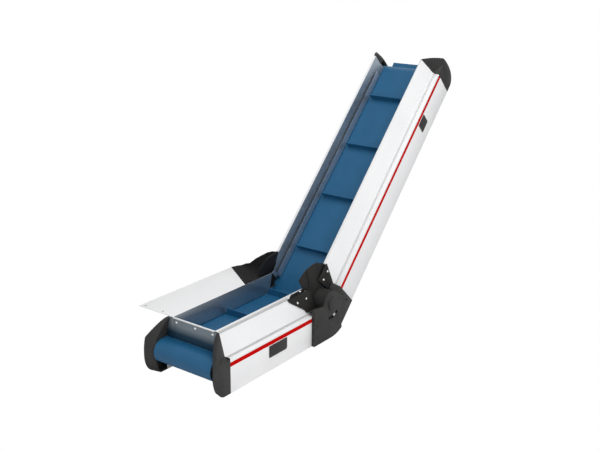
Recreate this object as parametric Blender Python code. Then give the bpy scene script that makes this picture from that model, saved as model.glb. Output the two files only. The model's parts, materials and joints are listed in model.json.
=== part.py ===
"""Cleated belt conveyor section: a level infeed trough, an adjustable knee and an incline.

Both sections are drawn in the same section frame: x runs along the section away from the
tail, y is across, and height is measured from the underside of the side profile. The knee
pivot is the shared reference, and the incline's frame is the same frame turned about it.
"""
import bmesh
import bpy
from math import acos, asin, atan2, cos, degrees, hypot, pi, radians, sin, sqrt, tan
from mathutils import Vector

# ---------------------------------------------------------------- driving dimensions (metres)
BASE_LENGTH = 0.569             # knee pivot to the tail end of the level profiles
INCLINE_LENGTH = 1.097          # knee pivot to the head end of the inclined profiles
KNEE_ANGLE = radians(46.0)      # incline above the level section, as set
KNEE_DOWN = radians(36.0)       # travel from the set angle towards flat
KNEE_UP = radians(4.0)          # travel from the set angle towards steep

OVERALL_WIDTH = 0.3272          # over the outer faces of the side profiles
BOX_WIDTH = 0.0326              # box part of a side profile
BOX_HEIGHT = 0.120
WALL_TOP = 0.2064               # top of the sloping wall above the profile's underside
WALL_LEAN = 0.2798              # inward lean of the wall per unit of height
LIP_WIDTH = 0.0085              # flat lip on top of the wall
SKIN = 0.0035                   # wall of the extruded profile
STRIP_HEIGHT = 0.016            # coloured insert strip and its groove
STRIP_CENTRE = 0.105
STRIP_DEPTH = 0.003

BELT_WIDTH = 0.259
BELT_THICK = 0.0025
BELT_TOP = 0.128                # carrying surface above the profile's underside
DRUM_RADIUS = 0.0397
DRUM_GAP = 0.0003               # drum shell to belt
TAIL_DRUM_OUT = 0.022           # tail drum axis beyond the tail end of the profiles
HEAD_DRUM_IN = 0.012            # head drum axis inside the head end of the profiles
TAKE_UP_TRAVEL = 0.012
AXLE_RADIUS = 0.008
CLEAT_HEIGHT = 0.024
CLEAT_WIDTH = 0.176
CLEAT_ROOT = 0.0055
CLEAT_TIP = 0.0038
CLEAT_PITCH = 0.248
FIRST_CLEAT = 0.192             # first cleat on the incline, from the knee pivot
HEAD_CLEAT_ANGLE = radians(8.0)  # cleat turning over the head drum, above the section's axis

PIVOT_HEIGHT = 0.140            # knee pivot above the profile's underside
DISC_RADIUS = 0.024             # hold-down discs that press the belt's edges into the knee
DISC_WIDTH = 0.011
DISC_AXLE = 0.0043
SHOE_SHEET = 0.003              # curved shoe that carries the return run round the bend

LINER_HALF = 0.096              # inner face of the trough liner
INCLINE_LINER_HALF = 0.1069
SHEET = 0.0012
LINER_FOOT = 0.003              # liner above the belt
NEAR_LIP = 0.0231
FAR_FLANGE = 0.165              # wide flange on the far liner
FLANGE_INNER_END = -0.182       # slanted end of the far flange, from the pivot
FLANGE_OUTER_END = -0.070
REAR_PLATE_FOOT = 0.156
REAR_PLATE = 0.0015
LIP_THICK = 0.0012               # flexible strip on the rear plate, down to the belt

CAP_NOSE = 0.078                # end cap beyond the profile's end, at its outer face
CAP_NOSE_INNER = 0.055          # and at the inner face of its box part
CAP_FOOT = 0.030                # flat part of the cap's underside
CAP_VALLEY = 0.056              # where the fin's face runs out to the cap's outer face
CAP_WALL = 0.0066
COVER_THICK = 0.0134            # knee cover over the profile's outer face
COVER_SHELL = 0.0074
COVER_LEFT = 0.110              # cover's tail-side edge from the pivot
COVER_TOP = 0.145
PLATE_THICK = 0.0052            # incline's knee plate, behind the cover
PLATE_END = 0.080
PLATE_TOP = 0.1305
PLATE_FOOT = 0.004
WEB_START = 0.054               # web from the knee plate's top edge in to the wing, over the shoulder
WEB_SHEET = 0.0024
COVER_WEB_FOOT = -0.0098
WEB_RISE = 0.0032
HUB_RADIUS = 0.050
SLOT_RADIUS = 0.0545            # lock bolt's circle
SLOT_WIDTH = 0.0145
SLOT_SPARE = radians(11.0)      # slot beyond the travel at its upper end
LOCK_ANGLE = radians(-68.0)
LOCK_BOLT = 0.004
PIN_RADIUS = 0.008
BOSS_RADIUS = 0.024
BOSS_HEIGHT = 0.0065
FAN_RADIUS = 0.143              # outer edge of the fan guards
FAN_SHEET = 0.002
LEAF_START = radians(82.0)      # edge of the base leaf, from the level
LINER_START = 0.043             # knee end of the incline's liner
FAN_GAP = 0.0006                # between the two leaves
BARREL_RADIUS = 0.051
WALL_END = 0.088                # sloping wall stops short of the pivot
SEAM = 0.057                    # incline leaf's edge, tail side of the pivot
WING = 0.0025

GAP = 0.0003                    # clearance between fitted pieces
RUN = 0.0001                    # clearance round turning pieces
MOUNT_FROM_PIVOT = 0.300        # mounting rail's centre, tail side of the pivot
RAIL_WIDTH = 0.060
RAIL_THICK = 0.010

NEAR, FAR = -1, 1
SIDES = (("near", NEAR), ("far", FAR))

# ---------------------------------------------------------------- derived sizes
HALF = OVERALL_WIDTH / 2
BOX_INNER = HALF - BOX_WIDTH
SLOPE_FOOT = BELT_TOP
SLOPE_FOOT_HALF = HALF - 0.0248
BELT_UNDER = BELT_TOP - BELT_THICK
BELT_R_IN = DRUM_RADIUS + DRUM_GAP
BELT_R_OUT = BELT_R_IN + BELT_THICK
DRUM_HEIGHT = BELT_TOP - BELT_R_OUT
RETURN_UNDER = DRUM_HEIGHT - BELT_R_OUT     # outer face of the return run
RETURN_TOP = RETURN_UNDER + BELT_THICK
DRUM_HALF = BELT_WIDTH / 2 - 0.001
TAIL_X = -BASE_LENGTH
TAIL_DRUM_X = TAIL_X - TAIL_DRUM_OUT
HEAD_DRUM_X = INCLINE_LENGTH - HEAD_DRUM_IN
HALF_KNEE = KNEE_ANGLE / 2
COVER_FACE = HALF + COVER_THICK
PLATE_INNER = HALF + 0.0004
PLATE_FACE = PLATE_INNER + PLATE_THICK
SHELL_INNER = COVER_FACE - COVER_SHELL
COVER_REACH = PIVOT_HEIGHT - 0.001          # round end of the base cover
WEB_INNER = SLOPE_FOOT_HALF + 0.0010
COVER_WEB_INNER = SLOPE_FOOT_HALF + 0.0026  # the base cover's own web, in to the foot of its wing
CONE_Y = SLOPE_FOOT_HALF + WALL_LEAN * (SLOPE_FOOT - PIVOT_HEIGHT)   # wall plane at pivot height
DISC_X = -(BELT_TOP - PIVOT_HEIGHT + DISC_RADIUS + DRUM_GAP) * tan(HALF_KNEE)
DISC_Z = BELT_TOP + DISC_RADIUS + DRUM_GAP
DISC_INNER = LINER_HALF + SHEET + 0.0040
SHOE_RADIUS = PIVOT_HEIGHT - RETURN_TOP - DRUM_GAP     # concentric with the knee pivot
BELT_TOP_JOIN = 0.072           # where the knee's belt pieces meet the straight runs
BELT_RETURN_JOIN = 0.010
BLOCK_INNER = BOX_INNER + SKIN + 0.001
BLOCK_OUTER = BLOCK_INNER + 0.0195

MATERIALS = {
    "white_paint": ((0.80, 0.81, 0.82), 0.38, 0.0),
    "red_insert": ((0.60, 0.004, 0.004), 0.45, 0.0),
    "black_plastic": ((0.045, 0.045, 0.045), 0.62, 0.0),
    "belt_blue": ((0.03, 0.13, 0.27), 0.42, 0.0),
    "stainless": ((0.62, 0.65, 0.68), 0.28, 1.0),
    "zinc_steel": ((0.55, 0.55, 0.56), 0.35, 1.0),
    "grey_polymer": ((0.25, 0.26, 0.27), 0.55, 0.0),
}


# ---------------------------------------------------------------- scene helpers
def clear_scene():
    for item in list(bpy.data.objects):
        bpy.data.objects.remove(item, do_unlink=True)


def material(name):
    found = bpy.data.materials.get(name)
    if found:
        return found
    colour, rough, metal = MATERIALS[name]
    made = bpy.data.materials.new(name)
    made.use_nodes = True
    shader = made.node_tree.nodes["Principled BSDF"]
    shader.inputs["Base Color"].default_value = (*colour, 1.0)
    shader.inputs["Roughness"].default_value = rough
    shader.inputs["Metallic"].default_value = metal
    made.diffuse_color = (*colour, 1.0)
    return made


def empty(name, location, turn=0.0, parent=None):
    made = bpy.data.objects.new(name, None)
    bpy.context.scene.collection.objects.link(made)
    made.parent = parent
    made.location = location
    made.rotation_euler = (0.0, turn, 0.0)
    return made


def add_object(name, bm, parent, look=None, at=(0.0, 0.0, 0.0), smooth=False):
    bmesh.ops.recalc_face_normals(bm, faces=bm.faces)
    if bm.calc_volume(signed=True) < 0.0:
        bmesh.ops.reverse_faces(bm, faces=bm.faces)
    mesh = bpy.data.meshes.new(name)
    bm.to_mesh(mesh)
    bm.free()
    if smooth:
        mesh.shade_smooth()
        mesh.set_sharp_from_angle(angle=radians(35))
    made = bpy.data.objects.new(name, mesh)
    bpy.context.scene.collection.objects.link(made)
    made.parent = parent
    made.location = at
    if look:
        mesh.materials.append(material(look))
    else:
        made.hide_render = True
        made.display_type = "WIRE"
    return made


def prism_mesh(loops, axis, low, high):
    """Solid between two planes square to the axis, from an outline and any holes in it.

    loops hold (y, z) pairs for axis x, (x, z) pairs for axis y and (x, y) pairs for axis z.
    """
    place = {"x": lambda a, b: (low, a, b), "y": lambda a, b: (a, low, b), "z": lambda a, b: (a, b, low)}
    step = {"x": (1, 0, 0), "y": (0, 1, 0), "z": (0, 0, 1)}
    bm = bmesh.new()
    for loop in loops:
        verts = [bm.verts.new(place[axis](a, b)) for a, b in loop]
        for first, second in zip(verts, verts[1:] + verts[:1]):
            bm.edges.new((first, second))
    bmesh.ops.triangle_fill(bm, use_beauty=True, edges=bm.edges[:])
    grown = bmesh.ops.extrude_face_region(bm, geom=bm.faces[:])
    moved = [item for item in grown["geom"] if isinstance(item, bmesh.types.BMVert)]
    bmesh.ops.translate(bm, verts=moved, vec=Vector(step[axis]) * (high - low))
    return bm


def prism(name, loops, axis, low, high, parent, look=None, smooth=False):
    return add_object(name, prism_mesh(loops, axis, low, high), parent, look, smooth=smooth)


def box(name, x, y, z, parent, look=None):
    outline = [(y[0], z[0]), (y[1], z[0]), (y[1], z[1]), (y[0], z[1])]
    return prism(name, [outline], "x", x[0], x[1], parent, look)


def turned_mesh(outline, steps=48):
    """Closed ring of (radius, y) points turned about the y axis; radius 0 closes on the axis."""
    bm = bmesh.new()
    rings = []
    for radius, y in outline:
        if radius == 0.0:
            rings.append([bm.verts.new((0.0, y, 0.0))] * steps)
        else:
            turns = [2 * pi * i / steps for i in range(steps)]
            rings.append([bm.verts.new((radius * cos(t), y, radius * sin(t))) for t in turns])
    closed = outline[0][0] > 0.0
    last = len(rings) if closed else len(rings) - 1
    for i in range(last):
        a, b = rings[i], rings[(i + 1) % len(rings)]
        for j in range(steps):
            k = (j + 1) % steps
            corners = list(dict.fromkeys((a[j], a[k], b[k], b[j])))
            if len(corners) > 2:
                bm.faces.new(corners)
    return bm


def turned(name, outline, parent, look=None, at=(0.0, 0.0, 0.0), steps=48):
    return add_object(name, turned_mesh(outline, steps), parent, look, at=at, smooth=True)


def rod(name, radius, y_low, y_high, parent, look=None, at=(0.0, 0.0, 0.0), steps=32):
    outline = [(0.0, y_low), (radius, y_low), (radius, y_high), (0.0, y_high)]
    return turned(name, outline, parent, look, at, steps)


def combine(target, other, operation):
    change = target.modifiers.new(other.name, "BOOLEAN")
    change.operation = operation
    change.solver = "EXACT"
    change.object = other


def cut(target, cutter):
    combine(target, cutter, "DIFFERENCE")


def fuse(target, other):
    combine(target, other, "UNION")


def arc(centre, radius, start, end, count, radius_z=None):
    """Points on an arc, or on an elliptical one, from angle start to angle end in radians."""
    rise = radius if radius_z is None else radius_z
    turns = [start + (end - start) * i / (count - 1) for i in range(count)]
    return [(centre[0] + radius * cos(t), centre[1] + rise * sin(t)) for t in turns]


def span(side, inner, outer):
    """Low and high y of a piece that lies between two distances from the middle."""
    return (inner, outer) if side > 0 else (-outer, -inner)


def above(height):
    """Section z of a height above the profile's underside."""
    return height - PIVOT_HEIGHT


def wall_y(z):
    """Outer face of the sloping wall at section z."""
    return CONE_Y - WALL_LEAN * z


# ---------------------------------------------------------------- side profiles
def profile_outline():
    """Outer outline of the extruded side profile as (distance from the middle, height)."""
    strip_low = STRIP_CENTRE - STRIP_HEIGHT / 2
    strip_high = STRIP_CENTRE + STRIP_HEIGHT / 2
    groove = HALF - STRIP_DEPTH
    lip_outer = SLOPE_FOOT_HALF - WALL_LEAN * (WALL_TOP - SLOPE_FOOT)
    lip_inner = lip_outer - LIP_WIDTH
    wall = SKIN * sqrt(1 + WALL_LEAN ** 2)
    inner_foot = BOX_HEIGHT + 0.0045
    return [
        (BOX_INNER, 0.0),
        (HALF, 0.0),
        (HALF, strip_low),
        (groove, strip_low),
        (groove, strip_high),
        (HALF, strip_high),
        (HALF, BOX_HEIGHT),
        (HALF - 0.0175, BOX_HEIGHT + 0.0015),
        (HALF - 0.0175, BOX_HEIGHT - 0.0010),
        (HALF - 0.0225, BOX_HEIGHT - 0.0010),
        (HALF - 0.0225, SLOPE_FOOT),
        (SLOPE_FOOT_HALF, SLOPE_FOOT),
        (lip_outer, WALL_TOP),
        (lip_inner, WALL_TOP),
        (lip_inner, WALL_TOP - SKIN),
        (lip_outer - wall + WALL_LEAN * SKIN, WALL_TOP - SKIN),
        (SLOPE_FOOT_HALF - wall + WALL_LEAN * (SLOPE_FOOT - inner_foot), inner_foot),
        (BOX_INNER, inner_foot - 0.003),
    ]


def profile_hollow():
    """Inner outline of the box part, stepped round the insert strip's groove."""
    step = STRIP_CENTRE - STRIP_HEIGHT / 2 - SKIN
    low, high = BOX_INNER + SKIN, HALF - SKIN
    return [
        (low, SKIN),
        (high, SKIN),
        (high, step),
        (high - STRIP_DEPTH, step),
        (high - STRIP_DEPTH, BOX_HEIGHT - 0.001 - SKIN),
        (low, BOX_HEIGHT - 0.001 - SKIN),
    ]


def sided(points, side):
    return [(side * y, above(z)) for y, z in points]


def side_profile(section, name, side, parent, start, end, wall_cut):
    loops = [sided(profile_outline(), side), sided(profile_hollow(), side)]
    made = prism(f"side_profile_{section}_{name}", loops, "x", start, end, parent, "white_paint")
    y_low, y_high = span(side, LINER_HALF, HALF + 0.01)
    cutter = prism(f"cut_wall_{section}_{name}", [wall_cut], "y", y_low, y_high, parent)
    cut(made, cutter)
    return made


def insert_strip(section, name, side, parent, start, end):
    y = span(side, HALF - STRIP_DEPTH + GAP, HALF - 0.0002)
    half = STRIP_HEIGHT / 2 - GAP
    z = (above(STRIP_CENTRE - half), above(STRIP_CENTRE + half))
    return box(f"strip_{section}_{name}", (start, end), y, z, parent, "red_insert")


def cap_nose(y):
    """How far the cap reaches beyond the profile at a distance from the middle."""
    share = (HALF - y) / (HALF - BOX_INNER)
    return CAP_NOSE + (CAP_NOSE_INNER - CAP_NOSE) * share


def cap_outline(nose, margin=0.0):
    """Side view of the rounded nose, as (reach beyond the end, height)."""
    turn_high = 0.086
    turn_low = 0.070
    top = WALL_TOP - turn_high
    upper = arc((0.0, turn_high), nose - margin, pi / 2, 0.0, 17, top - margin)
    lower = arc((CAP_FOOT, turn_low), nose - margin - CAP_FOOT, 0.0, -pi / 2, 13, turn_low - margin)
    return [(-0.001, WALL_TOP - margin)] + upper + lower + [(-0.001, margin)]


def cap_nose_solid(name, side, parent, end, direction):
    """Rounded nose, drawn in towards the belt, as a loft between two side views."""
    bm = bmesh.new()
    rings = []
    for y in (LINER_HALF - 0.02, HALF + 0.01):
        outline = cap_outline(cap_nose(y))
        rings.append([bm.verts.new((end + direction * x, side * y, above(z))) for x, z in outline])
    count = len(rings[0])
    for j in range(count):
        k = (j + 1) % count
        bm.faces.new((rings[0][j], rings[0][k], rings[1][k], rings[1][j]))
    for ring in rings:
        bm.faces.new(ring)
    bmesh.ops.triangulate(bm, faces=bm.faces[:])
    return add_object(name, bm, parent)


def cap_fin_solid(name, side, parent, end, direction):
    """Fin on top of the cap: its outer face runs out from the wall's slope to the outer face."""
    flare = (HALF - SLOPE_FOOT_HALF - WALL_LEAN * (SLOPE_FOOT - BOX_HEIGHT)) / CAP_VALLEY
    low, high = BOX_HEIGHT - 0.004, WALL_TOP + 0.002
    wall = SKIN + 0.0045
    bm = bmesh.new()
    rings = []
    for reach in (GAP, CAP_NOSE + 0.01):
        ring = []
        for z, inner in ((low, True), (low, False), (high, False), (high, True)):
            y = SLOPE_FOOT_HALF + WALL_LEAN * (SLOPE_FOOT - z)
            y = y - wall if inner else min(y + flare * (reach - GAP), HALF + 0.02)
            ring.append(bm.verts.new((end + direction * reach, side * y, above(z))))
        rings.append(ring)
    for j in range(4):
        k = (j + 1) % 4
        bm.faces.new((rings[0][j], rings[0][k], rings[1][k], rings[1][j]))
    for ring in rings:
        bm.faces.new(ring)
    return add_object(name, bm, parent)


def end_cap(place, name, side, parent, end, direction):
    """Black cap on a profile's end: a box part, a fin above it and a rounded nose round both."""
    low, high = sorted((end + direction * GAP, end + direction * (CAP_NOSE + 0.01)))
    foot = BOX_HEIGHT + (SLOPE_FOOT - BOX_HEIGHT) * (HALF - BOX_INNER) / (HALF - SLOPE_FOOT_HALF)
    section = [(BOX_INNER, 0.0), (HALF, 0.0), (HALF, BOX_HEIGHT), (BOX_INNER, foot)]
    made = prism(f"end_cap_{place}_{name}", [sided(section, side)], "x", low, high, parent, "black_plastic")
    fuse(made, cap_fin_solid(f"add_fin_{place}_{name}", side, parent, end, direction))
    y_low, y_high = span(side, LINER_HALF, HALF)
    reach = sorted((end, end + direction * (CAP_NOSE + 0.02)))
    trim_face = box(f"trim_face_{place}_{name}", reach, (y_low, y_high), (above(-0.01), above(0.23)), parent)
    combine(made, trim_face,
            "INTERSECT")
    combine(made, cap_nose_solid(f"trim_cap_{place}_{name}", side, parent, end, direction), "INTERSECT")
    pocket_low, pocket_high = span(side, BOX_INNER - 0.002, HALF - CAP_WALL)
    pocket = [(end + direction * x, above(z)) for x, z in cap_outline(CAP_NOSE_INNER, 0.007)
              if z < BOX_HEIGHT - 0.004]
    top = above(BOX_HEIGHT - 0.004)
    first_x = pocket[0][0]
    pocket = [(end - direction * 0.001, top), (first_x, top)] + pocket
    cut(made, prism(f"cut_cap_{place}_{name}", [pocket], "y", pocket_low, pocket_high, parent))
    return made


def side_cover(section, name, side, parent, start, end, foot):
    """Small black plate just under the insert strip, with one rounded lower corner."""
    top = STRIP_CENTRE - STRIP_HEIGHT / 2 - 0.002
    radius = 0.008
    outline = [(start, above(top)), (start, above(foot))]
    outline += arc((end - radius, above(foot + radius)), radius, -pi / 2, 0.0, 6)
    outline += [(end, above(top))]
    y_low, y_high = span(side, HALF + GAP, HALF + 0.0028)
    return prism(f"side_cover_{section}_{name}", [outline], "y", y_low, y_high, parent, "black_plastic")


# ---------------------------------------------------------------- beds, ties and liners
def slider_bed(section, parent, start, end):
    """Sheet under the carrying run, its long edges folded down."""
    top = above(BELT_UNDER - GAP)
    sheet = 0.002
    half = BELT_WIDTH / 2 - 0.002
    drop = 0.014
    outline = [(-half, top), (-half, top - drop), (-half + sheet, top - drop), (-half + sheet, top - sheet),
               (half - sheet, top - sheet), (half - sheet, top - drop), (half, top - drop), (half, top)]
    return prism(f"slider_bed_{section}", [outline], "x", start, end, parent, "stainless")


def cross_tie(name, parent, x, top, height, width):
    """Square tube between the side profiles, open at both ends."""
    wall = 0.003
    outer = [(x - width / 2, top - height), (x + width / 2, top - height), (x + width / 2, top),
             (x - width / 2, top)]
    inner = [(x - width / 2 + wall, top - height + wall), (x + width / 2 - wall, top - height + wall),
             (x + width / 2 - wall, top - wall), (x - width / 2 + wall, top - wall)]
    reach = BOX_INNER - GAP
    return prism(name, [outer, inner], "y", -reach, reach, parent, "zinc_steel")


def stand_rail(name, parent, x):
    """Flat bar under the return run, flush with the profiles' underside."""
    reach = BOX_INNER - GAP
    return box(name, (x - RAIL_WIDTH / 2, x + RAIL_WIDTH / 2), (-reach, reach),
               (above(0.0), above(RAIL_THICK)), parent, "zinc_steel")


def trough_liner(name, side, parent, flange):
    """Upright sheet inside the level walls, with a flange on top given as an (x, y) outline."""
    start, end = TAIL_X + GAP, -0.016
    level = above(WALL_TOP + GAP)
    foot = above(BELT_TOP + LINER_FOOT)
    flange_end = flange[1][0]
    upright = [(start, foot), (end, foot), (end, level - 2 * GAP), (flange_end, level - 2 * GAP),
               (flange_end, level + SHEET / 2), (start, level + SHEET / 2)]
    y_low, y_high = span(side, LINER_HALF, LINER_HALF + SHEET)
    made = prism(f"liner_base_{name}", [upright], "y", y_low, y_high, parent, "white_paint")
    outline = [(x, side * y) for x, y in flange]
    top = prism(f"add_flange_{name}", [outline], "z", level, level + SHEET, parent)
    fuse(made, top)
    return made


def incline_liner(name, side, parent, end):
    """Sheet inside the inclined walls; its lower part leans in towards the belt.

    Its knee end is cut back so that the base leaf clears it at every angle.
    """
    bend = above(0.163)
    top = above(WALL_TOP)
    foot = above(BELT_TOP + LINER_FOOT)
    inner = INCLINE_LINER_HALF
    lean = 0.007
    outline = [(inner, top), (inner, bend), (inner - lean, foot), (inner - lean + SHEET, foot),
               (inner + SHEET, bend), (inner + SHEET, top)]
    outline = [(side * y, z) for y, z in outline]
    made = prism(f"liner_incline_{name}", [outline], "x", LINER_START, end, parent, "stainless")
    spare = radians(0.8)
    clear_turn = LEAF_START - KNEE_ANGLE - KNEE_UP - spare
    inside = 0.0885
    clear = (inside * cos(clear_turn), inside * sin(clear_turn))
    away = (top + 0.01, (top + 0.01) / tan(clear_turn))
    notch = [(LINER_START - 0.02, foot - 0.01), (LINER_START + 0.007, foot - 0.01),
             (LINER_START + 0.001, 0.042), clear, (away[1], away[0]), (LINER_START - 0.02, away[0])]
    y_low, y_high = span(side, inner - 0.02, inner + 0.02)
    cut(made, prism(f"cut_liner_{name}", [notch], "y", y_low, y_high, parent))
    return made


def tail_lip(parent):
    """Flexible strip screwed on the rear plate's outside, which the cleats brush past."""
    reach = LINER_HALF - 0.001
    x = TAIL_X + 0.001 - GAP
    height = (above(BELT_TOP + 0.002), above(WALL_TOP - 0.0045))
    return box("tail_lip", (x - LIP_THICK, x), (-reach, reach), height, parent, "stainless")


def rear_plate(parent):
    """Plate that closes the trough at the tail, above the passing cleats."""
    reach = LINER_HALF - GAP
    x = TAIL_X + 0.001
    return box("rear_plate", (x, x + REAR_PLATE), (-reach, reach), (above(REAR_PLATE_FOOT), above(WALL_TOP)),
               parent, "stainless")


# ---------------------------------------------------------------- knee
def base_cover(name, side, parent):
    """Cover on the level section: a thick block at the tail side and a shell over the pivot."""
    top = above(COVER_TOP)
    foot = above(0.001)
    left = -COVER_LEFT
    lower_end = radians(-59.0)
    slot_reach = SLOT_RADIUS + SLOT_WIDTH / 2 + 0.010
    outline = [(left, top), (left, foot), (0.0, foot)]
    outline += arc((0.0, 0.0), COVER_REACH, -pi / 2, lower_end, 9)[1:]
    outline += arc((0.0, 0.0), slot_reach, radians(-40.0), radians(12.0), 8)
    outline += arc((0.0, 0.0), HUB_RADIUS, radians(48.0), pi - asin(top / HUB_RADIUS), 14)
    y_low, y_high = span(side, SHELL_INNER, COVER_FACE)
    made = prism(f"knee_cover_{name}", [outline], "y", y_low, y_high, parent, "black_plastic")
    block_end = left + 0.030
    block = [(left, top), (left, foot), (block_end, foot), (block_end, top)]
    low, high = span(side, HALF + GAP, COVER_FACE - 0.001)
    fuse(made, prism(f"add_block_{name}", [block], "y", low, high, parent))
    web = [(COVER_FACE - 0.001, top - 0.003), (COVER_WEB_INNER, COVER_WEB_FOOT),
           (COVER_WEB_INNER, COVER_WEB_FOOT + WEB_SHEET),
           (COVER_FACE - 0.001, top - 0.0003)]
    web = [(side * y, z) for y, z in web]
    fuse(made, prism(f"add_cover_web_{name}", [web], "x", left + 0.0005, -BARREL_RADIUS - 0.002, parent))
    low, high = span(side, COVER_FACE - 0.001, COVER_FACE + BOSS_HEIGHT)
    fuse(made, rod(f"add_boss_{name}", BOSS_RADIUS, low, high, parent, steps=48))
    low, high = span(side, SHELL_INNER - 0.01, COVER_FACE + BOSS_HEIGHT - 0.0025)
    cut(made, rod(f"cut_pin_{name}", PIN_RADIUS + GAP, low, high, parent))
    low, high = span(side, SHELL_INNER - 0.01, COVER_FACE + BOSS_HEIGHT + 0.01)
    cut(made, prism(f"cut_slot_{name}", [slot_outline()], "y", low, high, parent))
    return made


def slot_outline():
    """Arc slot that the lock bolt travels in, with round ends."""
    half = SLOT_WIDTH / 2
    spare = radians(1.0)
    low = LOCK_ANGLE - KNEE_DOWN - spare
    high = LOCK_ANGLE + KNEE_UP + SLOT_SPARE
    low_end = (SLOT_RADIUS * cos(low), SLOT_RADIUS * sin(low))
    high_end = (SLOT_RADIUS * cos(high), SLOT_RADIUS * sin(high))
    outline = arc((0.0, 0.0), SLOT_RADIUS + half, low, high, 15)
    outline += arc(high_end, half, high, high + pi, 8)[1:-1]
    outline += arc((0.0, 0.0), SLOT_RADIUS - half, high, low, 15)
    outline += arc(low_end, half, low + pi, low + 2 * pi, 8)[1:-1]
    return outline


def knee_plate(name, side, parent):
    """Incline's plate, turning behind the base cover on the pivot pin."""
    foot = above(PLATE_FOOT)
    top = above(PLATE_TOP)
    corner = -0.025
    outline = [(PLATE_END, top), (PLATE_END - 0.001, foot), (corner, foot)]
    backing = SLOT_RADIUS + SLOT_WIDTH / 2 + 0.003
    outline += arc((0.0, 0.0), backing, radians(248.0), radians(185.0), 9)
    outline += arc((0.0, 0.0), HUB_RADIUS - 0.002, radians(184.5), asin(top / (HUB_RADIUS - 0.002)), 14)[:-1]
    outline += [(0.047, top)]
    y_low, y_high = span(side, PLATE_INNER, PLATE_FACE)
    made = prism(f"knee_plate_{name}", [outline], "y", y_low, y_high, parent, "black_plastic")
    web = [(PLATE_INNER + 0.001, top - 0.0045), (WEB_INNER, WEB_RISE - WEB_SHEET), (WEB_INNER, WEB_RISE),
           (PLATE_INNER + 0.001, top)]
    fuse(made, prism(f"add_web_{name}", [[(side * y, z) for y, z in web]], "x", WEB_START, PLATE_END, parent))
    low, high = span(side, PLATE_INNER - 0.01, PLATE_FACE + 0.01)
    cut(made, rod(f"cut_plate_pin_{name}", PIN_RADIUS + RUN, low, high, parent))
    x, z = lock_place()
    cut(made, rod(f"cut_plate_bolt_{name}", LOCK_BOLT + GAP, low, high, parent, None, (x, 0.0, z)))
    return made


def lock_place():
    turn = LOCK_ANGLE - KNEE_ANGLE
    return SLOT_RADIUS * cos(turn), SLOT_RADIUS * sin(turn)


def mirrored(outline, side):
    return [(radius, side * y) for radius, y in outline]


def lock_bolt(name, side, parent):
    x, z = lock_place()
    seat = PLATE_FACE + GAP
    outline = [(0.0, PLATE_INNER + 0.0005), (LOCK_BOLT, PLATE_INNER + 0.0005), (LOCK_BOLT, seat),
               (0.0068, seat), (0.0068, seat + 0.0052), (0.0058, seat + 0.0062), (0.0, seat + 0.0062)]
    return turned(f"lock_bolt_{name}", mirrored(outline, side), parent, "zinc_steel", (x, 0.0, z), 36)


def pivot_pin(name, side, parent):
    inner = BOX_INNER + 0.015
    outer = COVER_FACE + BOSS_HEIGHT - 0.003
    outline = [(0.0, inner), (0.0178, inner), (0.0178, inner + 0.004), (PIN_RADIUS, inner + 0.004),
               (PIN_RADIUS, outer), (0.0, outer)]
    return turned(f"pivot_pin_{name}", mirrored(outline, side), parent, "zinc_steel", steps=36)


def leaf(name, side, parent, turns, reach, rows):
    """Sheet of a fan guard: for each angle, the skin's two faces from the rim inwards.

    rows(radius of the rim, turn) gives the outer and the inner face as lists of (radius, y).
    """
    bm = bmesh.new()
    faces = []
    for turn in turns:
        pair = []
        for face in rows(reach(turn), turn):
            pair.append([bm.verts.new((r * cos(turn), side * y, r * sin(turn))) for r, y in face])
        faces.append(pair)
    count = len(faces[0][0])
    for before, after in zip(faces, faces[1:]):
        for layer in (0, 1):
            for j in range(count - 1):
                bm.faces.new((before[layer][j], before[layer][j + 1], after[layer][j + 1], after[layer][j]))
        for j in (0, count - 1):
            bm.faces.new((before[0][j], before[1][j], after[1][j], after[0][j]))
    for pair in (faces[0], faces[-1]):
        for j in range(count - 1):
            bm.faces.new((pair[0][j], pair[0][j + 1], pair[1][j + 1], pair[1][j]))
    return add_object(name, bm, parent, "black_plastic", smooth=True)


def cone_y(radius, lift):
    return CONE_Y - WALL_LEAN * radius + lift


def base_leaf(name, side, parent):
    """Inner leaf on the level section, drawn in to a barrel round the pivot."""
    edge = WALL_END - 0.001
    shoulder = above(WALL_TOP) + 0.002
    corner = atan2(shoulder, -edge)
    corner_reach = hypot(shoulder, edge)
    full = radians(134.0)
    foot = above(BELT_TOP) + 0.003
    last = radians(189.5)

    def reach(turn):
        if turn <= full:
            return FAN_RADIUS
        if turn <= corner:
            share = (turn - full) / (corner - full)
            return FAN_RADIUS + (corner_reach - FAN_RADIUS) * share
        limit = edge / -cos(turn)
        if turn > pi:
            limit = min(limit, foot / sin(turn))
        return limit

    def rows(rim, turn):
        barrel = BARREL_RADIUS
        end = SHELL_INNER - GAP
        outer = [(rim, cone_y(rim, 0.0)), (barrel, cone_y(barrel, 0.0)), (barrel, end)]
        inner = [(rim, cone_y(rim, -FAN_SHEET)), (barrel - FAN_SHEET, cone_y(barrel, -FAN_SHEET)),
                 (barrel - FAN_SHEET, end)]
        return outer, inner

    start = LEAF_START
    turns = [start + (full - start) * i / 14 for i in range(15)]
    turns += [full + (corner - full) * i / 3 for i in range(1, 4)]
    turns += [corner + (pi - corner) * i / 8 for i in range(1, 9)]
    low_corner = pi + atan2(-foot, edge)
    turns += [low_corner]
    turns += [low_corner + (last - low_corner) * i / 3 for i in range(1, 4)]
    made = leaf(f"fan_base_{name}", side, parent, turns, reach, rows)
    x, z = -0.077, 0.038
    start_y = cone_y(hypot(x, z), -FAN_SHEET / 2)
    low, high = span(side, start_y, wall_y(z + 0.005))
    fuse(made, rod(f"add_fan_boss_{name}", 0.0048, low, high, parent, None, (x, 0.0, z), 24))
    return made


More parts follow.
